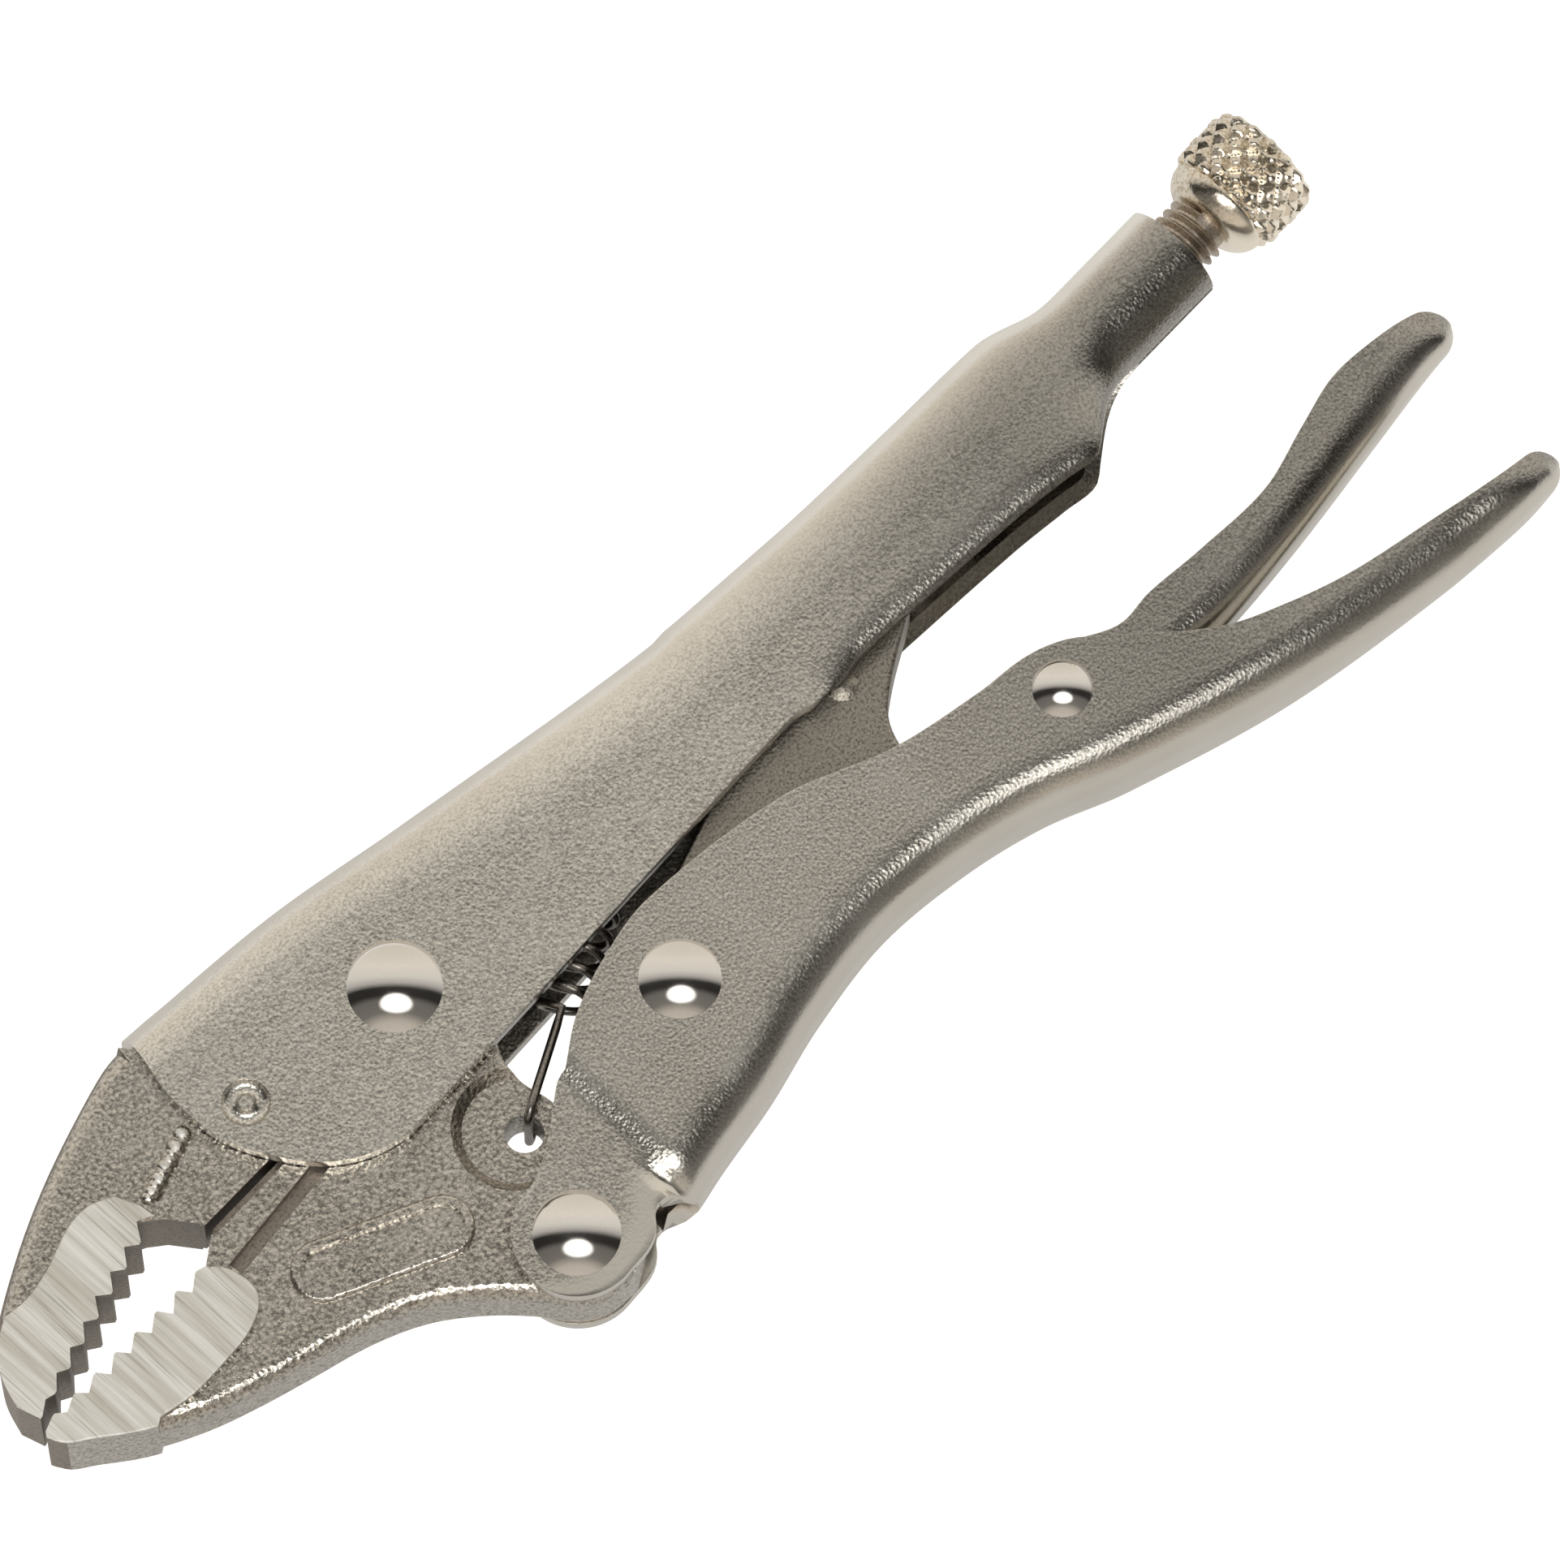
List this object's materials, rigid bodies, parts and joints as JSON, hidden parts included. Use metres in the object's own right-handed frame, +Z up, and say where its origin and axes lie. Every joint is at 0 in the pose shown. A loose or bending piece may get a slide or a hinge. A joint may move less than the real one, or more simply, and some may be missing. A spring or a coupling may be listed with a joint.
{
  "type": "locking pliers",
  "caption": "Curved-jaw locking pliers with a toggle lever, a release lever, a return spring and a knurled adjusting screw.",
  "frame": {"origin": "under the middle of the tool's box, on the plane it lies on when laid on its side", "axes": "+X from the jaws to the adjusting knob along the screw, +Y from the main lever to the fixed handle, +Z up along the rivets"},
  "size_m": [0.2389, 0.0855, 0.022],
  "materials": {
    "handle_nickel": "satin nickel plate over grainy pressed steel",
    "jaw_nickel": "nickel plate over forged steel, ground bright on the nose",
    "link_nickel": "dull nickel plate over pressed steel",
    "rivet_bright": "bright nickel plated domed rivet",
    "screw_steel": "oiled nickel plated thread",
    "knob_nickel": "bright nickel over diamond knurl",
    "spring_steel": "dark oiled spring wire"
  },
  "bodies": {
    "root": {"fixed_handle": "handle_nickel", "fixed_jaw": "jaw_nickel", "jaw_pivot_rivet": "rivet_bright", "return_spring": "spring_steel"},
    "moving_jaw": {"moving_jaw": "jaw_nickel"},
    "lever": {"lever_handle": "handle_nickel", "lever_pivot_rivet": "rivet_bright", "toggle_pivot_rivet": "rivet_bright", "release_pivot_rivet": "rivet_bright"},
    "toggle_link": {"toggle_link": "link_nickel"},
    "release_lever": {"release_lever": "handle_nickel"},
    "adjusting_screw": {"adjusting_screw": "screw_steel"},
    "screw_knob": {"screw_knob": "knob_nickel"}
  },
  "joints": [
    {"name": "jaw_hinge", "type": "hinge", "parent": "root", "child": "moving_jaw", "pos_m": [-0.045, 0.021, 0.011], "axis": [0, 0, 1], "range_deg": [0, 24], "deforming": ["return_spring"]},
    {"name": "lever_hinge", "type": "hinge", "parent": "moving_jaw", "child": "lever", "pos_m": [-0.053, -0.019, 0.011], "axis": [0, 0, 1], "range_deg": [-73.4, 0]},
    {"name": "link_hinge", "type": "hinge", "parent": "lever", "child": "toggle_link", "pos_m": [-0.019, -0.0055, 0.011], "axis": [0, 0, 1], "range_deg": [0, 79.7]},
    {"name": "release_hinge", "type": "hinge", "parent": "lever", "child": "release_lever", "pos_m": [0.044, -0.015, 0.011], "axis": [0, 0, -1], "range_deg": [0, 6]},
    {"name": "screw_slide", "type": "slide", "parent": "root", "child": "adjusting_screw", "axis": [1, 0, 0], "range_m": [0, 0.012]},
    {"name": "knob_turn", "type": "hinge", "parent": "adjusting_screw", "child": "screw_knob", "pos_m": [0.106, 0.017, 0.011], "axis": [1, 0, 0], "range_deg": [0, 2880]}
  ],
  "couplings": [
    {"joint": "lever_hinge", "follows": "jaw_hinge", "ratio": -3.05},
    {"joint": "link_hinge", "follows": "jaw_hinge", "ratio": 3.32},
    {"joint": "knob_turn", "follows": "screw_slide", "rad_per_m": 4188.8}
  ]
}
